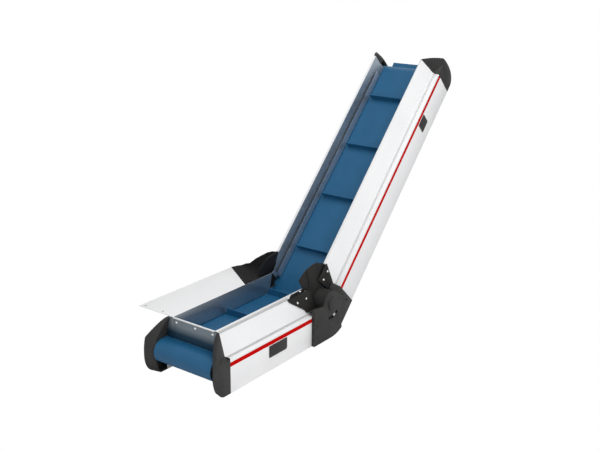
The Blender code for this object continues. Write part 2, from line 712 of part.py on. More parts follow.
def incline_leaf(name, side, parent):
    """Outer leaf on the incline, sliding over the base leaf."""
    seam_turn = acos(-SEAM / FAN_RADIUS) - KNEE_ANGLE
    end_x = 0.121
    first = radians(12.0)
    last = radians(170.0) - KNEE_ANGLE
    full = acos(end_x / FAN_RADIUS)
    lift = FAN_SHEET + FAN_GAP

    def reach(turn):
        if turn < full:
            return end_x / cos(turn)
        if turn > seam_turn:
            return SEAM / -cos(turn + KNEE_ANGLE)
        return FAN_RADIUS

    held = INCLINE_LINER_HALF + SHEET + 2 * GAP       # inner face where the liner lies inside it

    def rows(rim, turn):
        inner_rim = BARREL_RADIUS + 0.001
        middle = (CONE_Y + FAN_GAP - held) / WALL_LEAN
        share = min(max((radians(41.0) - turn) / radians(7.0), 0.0), 1.0)
        faces = []
        for rise in (lift, lift - FAN_SHEET):
            free = cone_y(rim, rise)
            outside = cone_y(middle, rise)
            edge = free + (outside - free) * share
            faces.append([(rim, edge), (middle, outside), (inner_rim, cone_y(inner_rim, rise))])
        return faces

    turns = [first + (full - first) * i / 4 for i in range(5)]
    turns += [full + (seam_turn - full) * i / 12 for i in range(1, 13)]
    turns += [seam_turn + (last - seam_turn) * i / 12 for i in range(1, 13)]
    made = leaf(f"fan_incline_{name}", side, parent, turns, reach, rows)
    x, z = 0.071, 0.041
    start_y = cone_y(hypot(x, z), lift - FAN_SHEET / 2)
    low, high = span(side, start_y, wall_y(z + 0.005))
    fuse(made, rod(f"add_leaf_boss_{name}", 0.0048, low, high, parent, None, (x, 0.0, z), 24))
    return made


def wing_plate(name, side, parent, outline):
    """Plate on the sloping wall that carries a fan leaf, from its (x, z) outline."""
    bm = prism_mesh([outline], "y", GAP, GAP + WING)
    for vert in bm.verts:
        vert.co.y = side * (vert.co.y + wall_y(vert.co.z))
    return add_object(name, bm, parent, "black_plastic")


def return_shoe(parent):
    """Curved sheet, concentric with the pivot, on two brackets inside the base profiles.

    The return run slides round it and stays tangent to it at every knee angle.
    """
    reach = BOX_INNER - 0.0005
    first = radians(-97.0)
    last = -pi / 2 + KNEE_ANGLE + KNEE_UP + radians(1.0)
    sheet = arc((0.0, 0.0), SHOE_RADIUS, first, last, 19)
    sheet += arc((0.0, 0.0), SHOE_RADIUS - SHOE_SHEET, last, first, 19)
    made = prism("return_shoe", [sheet], "y", -reach + 0.001, reach - 0.001, parent, "stainless")
    rim, inside = SHOE_RADIUS - 0.001, SHOE_RADIUS - 0.017
    tail = -0.075
    bracket = [(tail, -rim * sin(radians(80.0))), (rim * cos(first), -rim * sin(radians(80.0)))]
    end = last - radians(1.5)
    bracket += arc((0.0, 0.0), rim, first + radians(1.0), end, 17)
    bracket += arc((0.0, 0.0), inside, end, first, 15)
    bracket += [(tail, inside * sin(first))]
    for label, side in SIDES:
        low, high = span(side, reach - 0.004, reach)
        fuse(made, prism(f"add_bracket_{label}", [bracket], "y", low, high, parent))
    return made


def hold_down(name, side, parent, axis):
    """Disc that holds the belt's edge down in the bend, and its stub axle on the liner."""
    inner, outer = DISC_INNER, DISC_INNER + DISC_WIDTH
    bore = DISC_AXLE + RUN
    rim = [(DISC_RADIUS, inner + 0.002), (DISC_RADIUS, outer - 0.002), (DISC_RADIUS - 0.002, outer),
           (bore, outer), (bore, inner), (DISC_RADIUS - 0.002, inner)]
    disc = turned(f"hold_down_disc_{name}", mirrored(rim, side), axis, "belt_blue", steps=64)
    seat = LINER_HALF + SHEET + GAP
    stub = [(0.0, seat), (0.0085, seat), (0.0085, inner - 0.0006), (DISC_AXLE, inner - 0.0006),
            (DISC_AXLE, outer + 0.0006), (0.0075, outer + 0.0006), (0.0075, outer + 0.0026),
            (0.0, outer + 0.0026)]
    turned(f"disc_axle_{name}", mirrored(stub, side), parent, "zinc_steel", (DISC_X, 0.0, above(DISC_Z)), 24)
    return disc


def corner_flange(parent):
    """Flexible black sheet that carries the far flange round the knee and on to the incline."""
    level = above(WALL_TOP + GAP)
    sheet = 0.002
    corner = level * tan(HALF_KNEE)             # where the two lip planes meet
    ease = 0.012
    radius = ease / tan(HALF_KNEE) - sheet
    inner = LINER_HALF + GAP
    outer = LINER_HALF + FAR_FLANGE - GAP
    slant = (outer - inner) / (FLANGE_OUTER_END - FLANGE_INNER_END)
    first = FLANGE_INNER_END + 0.006
    step = -WALL_END - 0.0001
    rim = [(first, inner + slant * 0.0055), (step, inner + slant * (step - FLANGE_INNER_END - 0.0005)),
           (FLANGE_OUTER_END + 0.0005, outer), (-corner - ease, 0.251 + CONE_Y - 0.13544)]
    shift = CONE_Y - 0.13544
    held = INCLINE_LINER_HALF + SHEET + 0.0064 + shift

    def leaf_side(x):
        return max(cone_y(hypot(x, level), FAN_SHEET + FAN_GAP) + 0.0055, held)

    edge = [(first, inner), (step, inner), (step + 0.0005, leaf_side(step)),
            (-corner - ease, leaf_side(corner + ease))]
    stations = []
    for x in sorted({x for x, _ in rim + edge}):
        stations.append((x, level, 0.0, 1.0, along(edge, x), along(rim, x)))
    centre = (-corner - ease, level + sheet + radius)
    for i in range(1, 8):
        turn = KNEE_ANGLE * i / 8
        share = i / 8
        stations.append((centre[0] + (radius + sheet) * sin(turn), centre[1] - (radius + sheet) * cos(turn),
                         -sin(turn), cos(turn), leaf_side(corner + ease),
                         0.251 + (0.228 - 0.251) * share + shift))
    far_rim = [(corner + ease, 0.228), (0.047, 0.210), (0.072, 0.193), (0.089, 0.1765), (0.109, 0.155),
               (0.119, 0.135), (0.121, 0.119)]
    far_rim = [(x, y + shift) for x, y in far_rim]
    far_edge = [(x, leaf_side(x)) for x in (corner + ease, 0.060, 0.080, 0.121)]
    for x in sorted({x for x, _ in far_rim + far_edge}):
        place = on_incline(x, level, 1)
        stations.append((*place, along(far_edge, x), along(far_rim, x)))
    bm = bmesh.new()
    rows = []
    for x, z, nx, nz, y_low, y_high in stations:
        row = [(x, y_low, z), (x, y_high, z), (x + nx * sheet, y_high, z + nz * sheet),
               (x + nx * sheet, y_low, z + nz * sheet)]
        rows.append([bm.verts.new(point) for point in row])
    for before, after in zip(rows, rows[1:]):
        for j in range(4):
            k = (j + 1) % 4
            bm.faces.new((before[j], before[k], after[k], after[j]))
    bm.faces.new(rows[0])
    bm.faces.new(rows[-1])
    return add_object("corner_flange_far", bm, parent, "black_plastic")


def along(points, x):
    """Straight-line value at x from a list of (x, value)."""
    if x <= points[0][0]:
        return points[0][1]
    for (x0, v0), (x1, v1) in zip(points, points[1:]):
        if x <= x1:
            return v0 + (v1 - v0) * (x - x0) / (x1 - x0)
    return points[-1][1]


# ---------------------------------------------------------------- drums
def drum_outline():
    shell, hub, web = 0.004, 0.014, 0.010
    bore = AXLE_RADIUS + RUN
    inside = DRUM_RADIUS - shell
    end, hub_end = DRUM_HALF, DRUM_HALF - 0.002
    return [(DRUM_RADIUS, -end), (DRUM_RADIUS, end), (inside, end), (inside, web), (hub, web), (hub, hub_end),
            (bore, hub_end), (bore, -hub_end), (hub, -hub_end), (hub, -web), (inside, -web), (inside, -end)]


def drum_axle(name, parent, look):
    """Fixed axle with a bearing block at each end, sliding in the profile's hollow."""
    made = rod(name, AXLE_RADIUS, -BLOCK_OUTER + 0.004, BLOCK_OUTER - 0.004, parent, look, steps=36)
    for label, side in SIDES:
        low, high = span(side, BLOCK_INNER, BLOCK_OUTER)
        fuse(made, box(f"add_block_{name}_{label}", (-0.018, 0.018), (low, high), (-0.018, 0.018), parent))
    return made


# ---------------------------------------------------------------- belt
def ribbon(path):
    """Closed outline of the belt from its outer-face path, given as (x, z, nx, nz) inwards."""
    outer = [(x, z) for x, z, _, _ in path]
    inner = [(x + nx * BELT_THICK, z + nz * BELT_THICK) for x, z, nx, nz in path]
    return outer + inner[::-1]


def bend(centre, radius, start, end, count, inwards):
    """Belt path round a drum; inwards is -1 towards the centre and 1 away from it."""
    turns = [start + (end - start) * i / (count - 1) for i in range(count)]
    return [(centre[0] + radius * cos(t), centre[1] + radius * sin(t), inwards * cos(t), inwards * sin(t))
            for t in turns]


def add_cleats(belt, label, parent, places):
    """Cleats fused on a belt piece; a place is (x, z, angle) of a root and its outward direction."""
    for number, (x, z, turn) in enumerate(places):
        out = (cos(turn), sin(turn))
        along = (-sin(turn), cos(turn))
        sink = 0.001
        corners = [(-CLEAT_ROOT / 2, -sink), (CLEAT_ROOT / 2, -sink), (CLEAT_TIP / 2, CLEAT_HEIGHT),
                   (-CLEAT_TIP / 2, CLEAT_HEIGHT)]
        outline = [(x + a * along[0] + b * out[0], z + a * along[1] + b * out[1]) for a, b in corners]
        half = CLEAT_WIDTH / 2
        fuse(belt, prism(f"add_{label}_cleat_{number}", [outline], "y", -half, half, parent))


def tail_places():
    """Cleats on the level section, counted back through the knee from the incline's first."""
    mid = BELT_TOP - BELT_THICK / 2
    corner = (PIVOT_HEIGHT - mid) * tan(HALF_KNEE)
    radius = DISC_RADIUS + DRUM_GAP + BELT_THICK / 2
    saved = 2 * radius * tan(HALF_KNEE) - radius * KNEE_ANGLE
    first = corner - (CLEAT_PITCH - (FIRST_CLEAT + corner - saved))
    count = int((first - TAIL_DRUM_X) / CLEAT_PITCH) + 1
    top = [first - CLEAT_PITCH * i for i in range(count)]
    middle = BELT_R_OUT - BELT_THICK / 2
    left = CLEAT_PITCH - (top[-1] - TAIL_DRUM_X)
    turning = []
    if left < pi * middle:
        turning.append(pi / 2 + left / middle)
        left += CLEAT_PITCH
    start = TAIL_DRUM_X + left - pi * middle
    count = int((-BELT_RETURN_JOIN - 0.01 - start) / CLEAT_PITCH) + 1
    under = [start + CLEAT_PITCH * i for i in range(count)]
    return top, turning, [x for x in under if x > TAIL_DRUM_X + 0.004]


def under_incline_places(last):
    """Cleats on the incline's return run, counted on from the last one under the level section."""
    mid = RETURN_UNDER + BELT_THICK / 2
    corner = (PIVOT_HEIGHT - mid) * tan(HALF_KNEE)
    radius = SHOE_RADIUS + DRUM_GAP + BELT_THICK / 2
    saved = 2 * radius * tan(HALF_KNEE) - radius * KNEE_ANGLE
    first = CLEAT_PITCH - (corner - last) + saved - corner
    count = int((HEAD_DRUM_X - first) / CLEAT_PITCH) + 1
    places = [first + CLEAT_PITCH * i for i in range(count)]
    return [x for x in places if x > BELT_RETURN_JOIN + 0.01]


def belt(base, incline):
    top, under = above(BELT_TOP), above(RETURN_UNDER)
    top_cleats, turning, under_cleats = tail_places()
    half = BELT_WIDTH / 2

    drum = (TAIL_DRUM_X, above(DRUM_HEIGHT))
    path = [(-BELT_TOP_JOIN, top, 0.0, -1.0)]
    path += bend(drum, BELT_R_OUT, pi / 2, 1.5 * pi, 49, -1)
    path += [(-BELT_RETURN_JOIN, under, 0.0, 1.0)]
    made = prism("belt_base", [ribbon(path)], "y", -half, half, base, "belt_blue", smooth=True)
    places = [(x, top, pi / 2) for x in top_cleats[1:]]
    places += [(drum[0] + BELT_R_OUT * cos(t), drum[1] + BELT_R_OUT * sin(t), t) for t in turning]
    places += [(x, under, -pi / 2) for x in under_cleats]
    add_cleats(made, "base", base, places)

    disc = (DISC_X, above(DISC_Z))
    bend_radius = DISC_RADIUS + DRUM_GAP
    path = [(-BELT_TOP_JOIN + GAP, top, 0.0, -1.0)]
    path += bend(disc, bend_radius, -pi / 2, -pi / 2 + KNEE_ANGLE, 13, 1)
    path += [on_incline(BELT_TOP_JOIN - GAP, top, -1)]
    made = prism("belt_knee_top", [ribbon(path)], "y", -half, half, base, "belt_blue", smooth=True)
    add_cleats(made, "knee", base, [(top_cleats[0], top, pi / 2)])

    bend_radius = SHOE_RADIUS + DRUM_GAP + BELT_THICK
    path = [(-BELT_RETURN_JOIN + GAP, under, 0.0, 1.0)]
    path += bend((0.0, 0.0), bend_radius, -pi / 2, -pi / 2 + KNEE_ANGLE, 17, -1)
    path += [on_incline(BELT_RETURN_JOIN - GAP, under, 1)]
    prism("belt_knee_return", [ribbon(path)], "y", -half, half, base, "belt_blue", smooth=True)

    drum = (HEAD_DRUM_X, above(DRUM_HEIGHT))
    path = [(BELT_TOP_JOIN, top, 0.0, -1.0)]
    path += bend(drum, BELT_R_OUT, pi / 2, -pi / 2, 49, -1)
    path += [(BELT_RETURN_JOIN, under, 0.0, 1.0)]
    made = prism("belt_incline", [ribbon(path)], "y", -half, half, incline, "belt_blue", smooth=True)
    count = int((HEAD_DRUM_X - FIRST_CLEAT) / CLEAT_PITCH) + 1
    places = [(FIRST_CLEAT + CLEAT_PITCH * i, top, pi / 2) for i in range(count)]
    turn = HEAD_CLEAT_ANGLE
    places += [(drum[0] + BELT_R_OUT * cos(turn), drum[1] + BELT_R_OUT * sin(turn), turn)]
    places += [(x, under, -pi / 2) for x in under_incline_places(under_cleats[-1])]
    add_cleats(made, "incline", incline, places)


def on_incline(x, z, inwards):
    """A straight run's end on the incline, seen in the level section's frame."""
    c, s = cos(KNEE_ANGLE), sin(KNEE_ANGLE)
    return (x * c - z * s, x * s + z * c, -inwards * s, inwards * c)


# ---------------------------------------------------------------- the two sections
def level_section(base):
    profile_end = -0.005
    wall_cut = [(-WALL_END, above(BOX_HEIGHT + 0.0016)), (0.05, above(BOX_HEIGHT + 0.0016)),
                (0.05, above(WALL_TOP + 0.01)), (-WALL_END, above(WALL_TOP + 0.01))]
    near_lip = [(TAIL_X + GAP, LINER_HALF), (-WALL_END, LINER_HALF),
                (-WALL_END, LINER_HALF + NEAR_LIP), (TAIL_X + GAP, LINER_HALF + NEAR_LIP)]
    outer = LINER_HALF + FAR_FLANGE
    far_flange = [(TAIL_X + GAP, LINER_HALF), (FLANGE_INNER_END, LINER_HALF),
                  (FLANGE_OUTER_END, outer), (TAIL_X + GAP, outer)]
    trough_liner("near", NEAR, base, near_lip)
    trough_liner("far", FAR, base, far_flange)
    wing = [(-0.203, above(WALL_TOP)), (-0.194, 0.053), (-0.119, 0.003), (-0.112, -0.009),
            (-0.0535, -0.009), (-0.0600, 0.020), (-0.066, 0.062), (-WALL_END, above(WALL_TOP))]
    for name, side in SIDES:
        side_profile("base", name, side, base, TAIL_X, profile_end, wall_cut)
        insert_strip("base", name, side, base, TAIL_X + 0.001, profile_end - 0.001)
        end_cap("tail", name, side, base, TAIL_X, -1)
        side_cover("base", name, side, base, TAIL_X + 0.205, TAIL_X + 0.306, 0.051)
        base_cover(name, side, base)
        pivot_pin(name, side, base)
        base_leaf(name, side, base)
        wing_plate(f"wing_base_{name}", side, base, wing)
    rear_plate(base)
    tail_lip(base)
    slider_bed("base", base, TAIL_X + 0.022, -0.060)
    tie_top = above(BELT_UNDER - 0.0165)
    cross_tie("cross_tie_base_1", base, TAIL_X + 0.110, tie_top, 0.040, 0.030)
    cross_tie("cross_tie_base_2", base, -0.150, tie_top, 0.040, 0.030)
    stand_rail("mount_rail", base, -MOUNT_FROM_PIVOT)
    corner_flange(base)
    return_shoe(base)


def incline_section(incline):
    start = 0.008
    foot_line = above(BOX_HEIGHT + 0.0016)
    wall_cut = [(-0.01, foot_line), (0.052, foot_line), (0.126, above(WALL_TOP)),
                (0.126, above(WALL_TOP + 0.01)), (-0.01, above(WALL_TOP + 0.01))]
    wing = [(0.0525, -0.004), (0.0505, 0.012), (0.0535, 0.0654), (0.120, 0.0665), (0.128, 0.062),
            (0.084, -0.004)]
    for name, side in SIDES:
        made = side_profile("incline", name, side, incline, start, INCLINE_LENGTH, wall_cut)
        low, high = span(side, BOX_INNER - 0.002, BOX_INNER + SKIN + 0.001)
        notch = AXLE_RADIUS + 0.0006
        z = above(DRUM_HEIGHT)
        cut(made, box(f"cut_shaft_{name}", (HEAD_DRUM_X - notch, INCLINE_LENGTH + 0.01), (low, high),
                      (z - notch, z + notch), incline))
        insert_strip("incline", name, side, incline, start + 0.001, INCLINE_LENGTH - 0.001)
        end_cap("head", name, side, incline, INCLINE_LENGTH, 1)
        side_cover("incline", name, side, incline, 0.854, 0.909, 0.046)
        incline_liner(name, side, incline, INCLINE_LENGTH - 0.001)
        knee_plate(name, side, incline)
        lock_bolt(name, side, incline)
        incline_leaf(name, side, incline)
        wing_plate(f"wing_incline_{name}", side, incline, wing)
    slider_bed("incline", incline, 0.060, HEAD_DRUM_X - 0.045)
    tie_top = above(BELT_UNDER - 0.0165)
    cross_tie("cross_tie_incline_1", incline, 0.300, tie_top, 0.040, 0.030)
    cross_tie("cross_tie_incline_2", incline, 0.820, tie_top, 0.040, 0.030)
    z = above(DRUM_HEIGHT)
    shaft_axis = empty("head_shaft_axis", (HEAD_DRUM_X, 0.0, z), parent=incline)
    drum_axle("head_shaft", shaft_axis, "zinc_steel")
    drum_axis = empty("head_drum_axis", (HEAD_DRUM_X, 0.0, z), parent=incline)
    turned("head_drum", drum_outline(), drum_axis, "zinc_steel", steps=96)


def moving_parts(base):
    z = above(DRUM_HEIGHT)
    carriage = empty("take_up_axis", (TAIL_DRUM_X, 0.0, z), parent=base)
    drum_axle("take_up_carriage", carriage, "zinc_steel")
    tail_axis = empty("tail_drum_axis", (0.0, 0.0, 0.0), parent=carriage)
    turned("tail_drum", drum_outline(), tail_axis, "zinc_steel", steps=96)
    disc_axis = empty("hold_down_axis", (DISC_X, 0.0, above(DISC_Z)), parent=base)
    for name, side in SIDES:
        hold_down(name, side, base, disc_axis)


def main():
    clear_scene()
    base = empty("base_axis", (MOUNT_FROM_PIVOT, 0.0, PIVOT_HEIGHT))
    incline = empty("incline_axis", (0.0, 0.0, 0.0), -KNEE_ANGLE, base)
    level_section(base)
    incline_section(incline)
    moving_parts(base)
    belt(base, incline)


main()
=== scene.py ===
import json
from math import atan, cos, radians, sin

import bmesh
import bpy
from mathutils import Matrix, Vector


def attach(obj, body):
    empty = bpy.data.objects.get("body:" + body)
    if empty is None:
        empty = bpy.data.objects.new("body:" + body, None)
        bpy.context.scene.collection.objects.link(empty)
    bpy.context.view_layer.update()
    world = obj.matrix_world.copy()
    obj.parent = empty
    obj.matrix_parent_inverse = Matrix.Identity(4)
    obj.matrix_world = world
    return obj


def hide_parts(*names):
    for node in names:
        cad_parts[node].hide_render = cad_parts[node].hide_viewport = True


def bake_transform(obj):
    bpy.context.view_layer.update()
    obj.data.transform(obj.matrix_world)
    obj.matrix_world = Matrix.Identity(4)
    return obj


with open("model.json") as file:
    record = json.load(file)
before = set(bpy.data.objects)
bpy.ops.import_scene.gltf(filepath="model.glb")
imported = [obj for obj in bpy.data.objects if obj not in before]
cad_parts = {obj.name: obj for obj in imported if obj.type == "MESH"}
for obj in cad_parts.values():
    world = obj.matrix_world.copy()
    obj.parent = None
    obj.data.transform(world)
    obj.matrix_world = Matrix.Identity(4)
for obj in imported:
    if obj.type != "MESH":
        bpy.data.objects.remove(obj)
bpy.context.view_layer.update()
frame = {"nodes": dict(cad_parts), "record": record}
NODES = frame["nodes"]

# The part's sizes, in metres, as the frame has them. Places on the two sections start at the knee's pivot.
KNEE = Vector((0.300, 0.0, 0.140))      # pivot of the knee
KNEE_ANGLE = radians(46.0)
LEVEL = Matrix.Translation(KNEE)
INCLINE = LEVEL @ Matrix.Rotation(-KNEE_ANGLE, 4, "Y")
WORLD = Matrix.Identity(4)
SIDES = (("near", -1), ("far", 1))
WALL_AT_PIVOT = 0.13544                 # sloping wall's outer face at the pivot's height
WALL_SLOPE = 0.2798                     # how much the wall draws in per metre of height
GUARD_THICK = 0.0028                    # wing plates that lie on the wall
LIP_TOP = 0.0680                        # top of the near lip and the far flange
TAIL_JOINT = -0.26915                   # between the profiles' ends and the tail caps
COVER_OUTSIDE = 0.1771                  # outer face of the knee covers
PLATE_OUTSIDE = 0.1693                  # outer face of the knee plates
BELT_PLANE = -0.012                     # belt's carrying surface
RETURN_PLANE = -0.096                   # belt's return run
FLEX_START, FLEX_END = 0.004, 0.045     # where the carrying run bends when the knee moves
RETURN_FLEX = 0.0125
FLANGE_FLEX = 0.060


# ---------------------------------------------------------------- surfaces
def new_surface(name):
    """Empty procedural material: its shader, node list and links."""
    surface = bpy.data.materials.new(name)
    surface.use_nodes = True
    tree = surface.node_tree
    return surface, tree.nodes["Principled BSDF"], tree.nodes, tree.links


def object_space(nodes, links, stretch=(1.0, 1.0, 1.0), turn=(0.0, 0.0, 0.0)):
    where = nodes.new("ShaderNodeTexCoord")
    shape = nodes.new("ShaderNodeMapping")
    shape.inputs["Scale"].default_value = stretch
    shape.inputs["Rotation"].default_value = turn
    links.new(where.outputs["Object"], shape.inputs["Vector"])
    return shape.outputs["Vector"]


def grain(nodes, links, space, scale, detail=3.0, rough=0.5):
    noise = nodes.new("ShaderNodeTexNoise")
    noise.inputs["Scale"].default_value = scale
    noise.inputs["Detail"].default_value = detail
    noise.inputs["Roughness"].default_value = rough
    links.new(space, noise.inputs["Vector"])
    return noise.outputs["Fac"]


def between(nodes, links, value, low, high):
    """Colour that runs from low to high as the value runs from 0.3 to 0.7."""
    ramp = nodes.new("ShaderNodeValToRGB")
    ramp.color_ramp.elements[0].position = 0.3
    ramp.color_ramp.elements[1].position = 0.7
    ramp.color_ramp.elements[0].color = (*low, 1.0)
    ramp.color_ramp.elements[1].color = (*high, 1.0)
    links.new(value, ramp.inputs["Fac"])
    return ramp.outputs["Color"]


def span_of(nodes, links, value, low, high):
    spread = nodes.new("ShaderNodeMapRange")
    spread.inputs["From Min"].default_value = 0.3
    spread.inputs["From Max"].default_value = 0.7
    spread.inputs["To Min"].default_value = low
    spread.inputs["To Max"].default_value = high
    links.new(value, spread.inputs["Value"])
    return spread.outputs["Result"]


def relief(nodes, links, height, shader, depth, strength=1.0):
    bump = nodes.new("ShaderNodeBump")
    bump.inputs["Distance"].default_value = depth
    bump.inputs["Strength"].default_value = strength
    links.new(height, bump.inputs["Height"])
    links.new(bump.outputs["Normal"], shader.inputs["Normal"])


def powder_white(name):
    """Powder-coated aluminium: fine orange-peel and a faint cloud."""
    surface, shader, nodes, links = new_surface(name)
    space = object_space(nodes, links)
    peel = grain(nodes, links, space, 900.0, 2.0)
    cloud = grain(nodes, links, space, 6.0, 3.0)
    colour = between(nodes, links, cloud, (0.815, 0.820, 0.830), (0.850, 0.853, 0.860))
    links.new(colour, shader.inputs["Base Color"])
    links.new(span_of(nodes, links, peel, 0.34, 0.46), shader.inputs["Roughness"])
    shader.inputs["Specular IOR Level"].default_value = 0.5
    relief(nodes, links, peel, shader, 0.00002, 0.35)
    return surface


def moulded_black(name, low=(0.022, 0.022, 0.022), high=(0.033, 0.032, 0.031), bumps=1400.0, sheen=0.28):
    """Textured dark plastic: fine spark grain, slightly uneven sheen."""
    surface, shader, nodes, links = new_surface(name)
    space = object_space(nodes, links)
    spark = grain(nodes, links, space, bumps, 4.0, 0.6)
    cloud = grain(nodes, links, space, 18.0, 3.0)
    links.new(between(nodes, links, cloud, low, high), shader.inputs["Base Color"])
    links.new(span_of(nodes, links, spark, 0.52, 0.70), shader.inputs["Roughness"])
    shader.inputs["Specular IOR Level"].default_value = sheen
    relief(nodes, links, spark, shader, 0.00006, 0.5)
    return surface


def red_strip():
    surface, shader, nodes, links = new_surface("red_insert_strip")
    space = object_space(nodes, links)
    cloud = grain(nodes, links, space, 30.0, 2.0)
    colour = between(nodes, links, cloud, (0.52, 0.000, 0.000), (0.59, 0.000, 0.000))
    links.new(colour, shader.inputs["Base Color"])
    shader.inputs["Specular IOR Level"].default_value = 0.02
    fine = grain(nodes, links, space, 700.0, 2.0)
    links.new(span_of(nodes, links, fine, 0.36, 0.50), shader.inputs["Roughness"])
    relief(nodes, links, fine, shader, 0.00002, 0.3)
    return surface


def belt_blue():
    """Food-grade belt: matt blue cover with a very fine pebble and a soft sheen."""
    surface, shader, nodes, links = new_surface("blue_belt_cover")
    space = object_space(nodes, links)
    pebble = grain(nodes, links, space, 1100.0, 3.0, 0.6)
    cloud = grain(nodes, links, space, 9.0, 4.0)
    links.new(between(nodes, links, cloud, (0.010, 0.094, 0.203), (0.014, 0.109, 0.234)),
              shader.inputs["Base Color"])
    shader.inputs["Specular IOR Level"].default_value = 0.30
    links.new(span_of(nodes, links, pebble, 0.38, 0.54), shader.inputs["Roughness"])
    relief(nodes, links, pebble, shader, 0.00004, 0.4)
    return surface


def brushed_sheet(name, turn=(0.0, 0.0, 0.0), low=(0.56, 0.58, 0.61), high=(0.66, 0.68, 0.71),
                  rough=(0.34, 0.46)):
    """Stainless sheet, ground along its length."""
    surface, shader, nodes, links = new_surface(name)
    brushed = object_space(nodes, links, (6.0, 900.0, 900.0), turn)
    lines = grain(nodes, links, brushed, 1.0, 2.0, 0.6)
    cloud = grain(nodes, links, object_space(nodes, links), 5.0, 3.0)
    links.new(between(nodes, links, cloud, low, high), shader.inputs["Base Color"])
    shader.inputs["Metallic"].default_value = 1.0
    links.new(span_of(nodes, links, lines, *rough), shader.inputs["Roughness"])
    relief(nodes, links, lines, shader, 0.00001, 0.3)
    return surface


def zinc(name, low=(0.50, 0.50, 0.50), high=(0.66, 0.66, 0.65), rough=(0.28, 0.44)):
    """Zinc-plated steel with a faint crystalline mottle."""
    surface, shader, nodes, links = new_surface(name)
    space = object_space(nodes, links)
    mottle = grain(nodes, links, space, 120.0, 3.0, 0.6)
    links.new(between(nodes, links, mottle, low, high), shader.inputs["Base Color"])
    shader.inputs["Metallic"].default_value = 1.0
    links.new(span_of(nodes, links, mottle, *rough), shader.inputs["Roughness"])
    return surface


def rear_steel_belt_reflection():
    """Sheet at the tail; its colour goes from grey at the top to dark blue down towards the belt, a painted
    reflection of the belt that it mirrors.
    """
    surface, shader, nodes, links = new_surface("rear_steel_belt_reflection")
    space = object_space(nodes, links)
    parts = nodes.new("ShaderNodeSeparateXYZ")
    links.new(space, parts.inputs["Vector"])
    height = nodes.new("ShaderNodeMapRange")
    height.inputs["From Min"].default_value = 0.130
    height.inputs["From Max"].default_value = 0.204
    links.new(parts.outputs["Z"], height.inputs["Value"])
    # painted reflection: dark blue low down, grey up high, for the belt mirrored in the sheet
    colour = between(nodes, links, height.outputs["Result"], (0.012, 0.042, 0.075), (0.200, 0.235, 0.265))
    links.new(colour, shader.inputs["Base Color"])
    fine = grain(nodes, links, object_space(nodes, links, (900.0, 8.0, 900.0)), 1.0, 2.0)
    links.new(span_of(nodes, links, fine, 0.34, 0.48), shader.inputs["Roughness"])
    shader.inputs["Metallic"].default_value = 0.35
    shader.inputs["Specular IOR Level"].default_value = 0.3
    return surface


ALONG_INCLINE = (0.0, KNEE_ANGLE, 0.0)
SURFACES = {
    "white_profile": powder_white("powder_white"),
    "red_insert": red_strip(),
    "black_plastic": moulded_black("moulded_black"),
    "black_sheet": moulded_black("black_guard_sheet", (0.010, 0.010, 0.010), (0.017, 0.016, 0.015), 1000.0,
                                 0.20),
    "belt": belt_blue(),
    # blue-grey tint of the stainless: painted reflection of the blue belt
    "stainless_sheet": brushed_sheet("stainless_level_belt_tint", low=(0.44, 0.47, 0.50), high=(0.52, 0.55, 0.58)),
    # darker, bluer copy of the same stainless for the incline: painted shade and painted belt reflection
    "stainless_incline_shaded": brushed_sheet("stainless_incline_shaded", ALONG_INCLINE, (0.34, 0.39, 0.44),
                                       (0.42, 0.47, 0.52), (0.40, 0.54)),
    # lighter copy of the incline stainless: painted light on the band along the liner's foot
    "skirt_steel_painted_light": brushed_sheet("skirt_steel_painted_light", ALONG_INCLINE, (0.50, 0.53, 0.57), (0.58, 0.61, 0.65),
                                 (0.40, 0.54)),
    # white surface for the liner's upward faces: painted light on the same sheet as the stainless wall
    "flange_painted_light": powder_white("flange_painted_light"),
    # tail sheets: painted reflection of the belt in their colour
    "rear_steel_belt_reflection": rear_steel_belt_reflection(),
    "zinc_steel": zinc("zinc_plate"),
    "drum_shell": zinc("drum_shell", (0.55, 0.56, 0.57), (0.66, 0.67, 0.68), (0.30, 0.42)),
    "screw_pale": zinc("pale_screw", (0.74, 0.74, 0.73), (0.86, 0.86, 0.85), (0.24, 0.36)),
    # grey and paler strips: painted shade under the lip and in the shoulder grooves, the paler one for the
    # incline
    "grey_painted_shade": moulded_black("grey_painted_shade_strip", (0.50, 0.50, 0.50), (0.56, 0.56, 0.56), 800.0),
    "pale_painted_shade": moulded_black("pale_painted_shade_strip", (0.62, 0.62, 0.62), (0.68, 0.68, 0.68), 800.0),
    "screw_grey": zinc("grey_screw", (0.36, 0.36, 0.36), (0.46, 0.46, 0.46), (0.34, 0.46)),
    "rubber_sheet": moulded_black("rubber_sheet", (0.006, 0.006, 0.007), (0.010, 0.010, 0.011), 700.0,
                                  0.05),
    "screw_dark": moulded_black("black_screw", (0.014, 0.014, 0.014), (0.022, 0.022, 0.022), 600.0),
}


def dress(obj, surface):
    obj.data.materials.clear()
    obj.data.materials.append(SURFACES[surface])


def slot_of(node):
    subparts = frame["record"]["subparts"]
    return next(entry["material_slot"] for entry in subparts if entry["node"] == node)


def finish_of(node):
    """Finish of a piece: its slot in the record, but the tail sheets get the painted belt reflection and the
    incline's stainless a darker, bluer copy with painted shade and belt reflection.
    """
    found = slot_of(node)
    # the tail sheets take the painted belt reflection
    if node in ("tail_lip", "rear_plate"):
        return "rear_steel_belt_reflection"
    # the incline's stainless takes the darker copy with painted shade and belt reflection
    if found == "stainless_sheet" and "incline" in node:
        return "stainless_incline_shaded"
    return found


def dress_frame():
    for name, obj in NODES.items():
        for place in obj.material_slots:
            place.material = SURFACES[finish_of(name)]


# ---------------------------------------------------------------- modelling helpers
def only(obj):
    bpy.ops.object.select_all(action="DESELECT")
    obj.select_set(True)
    bpy.context.view_layer.objects.active = obj


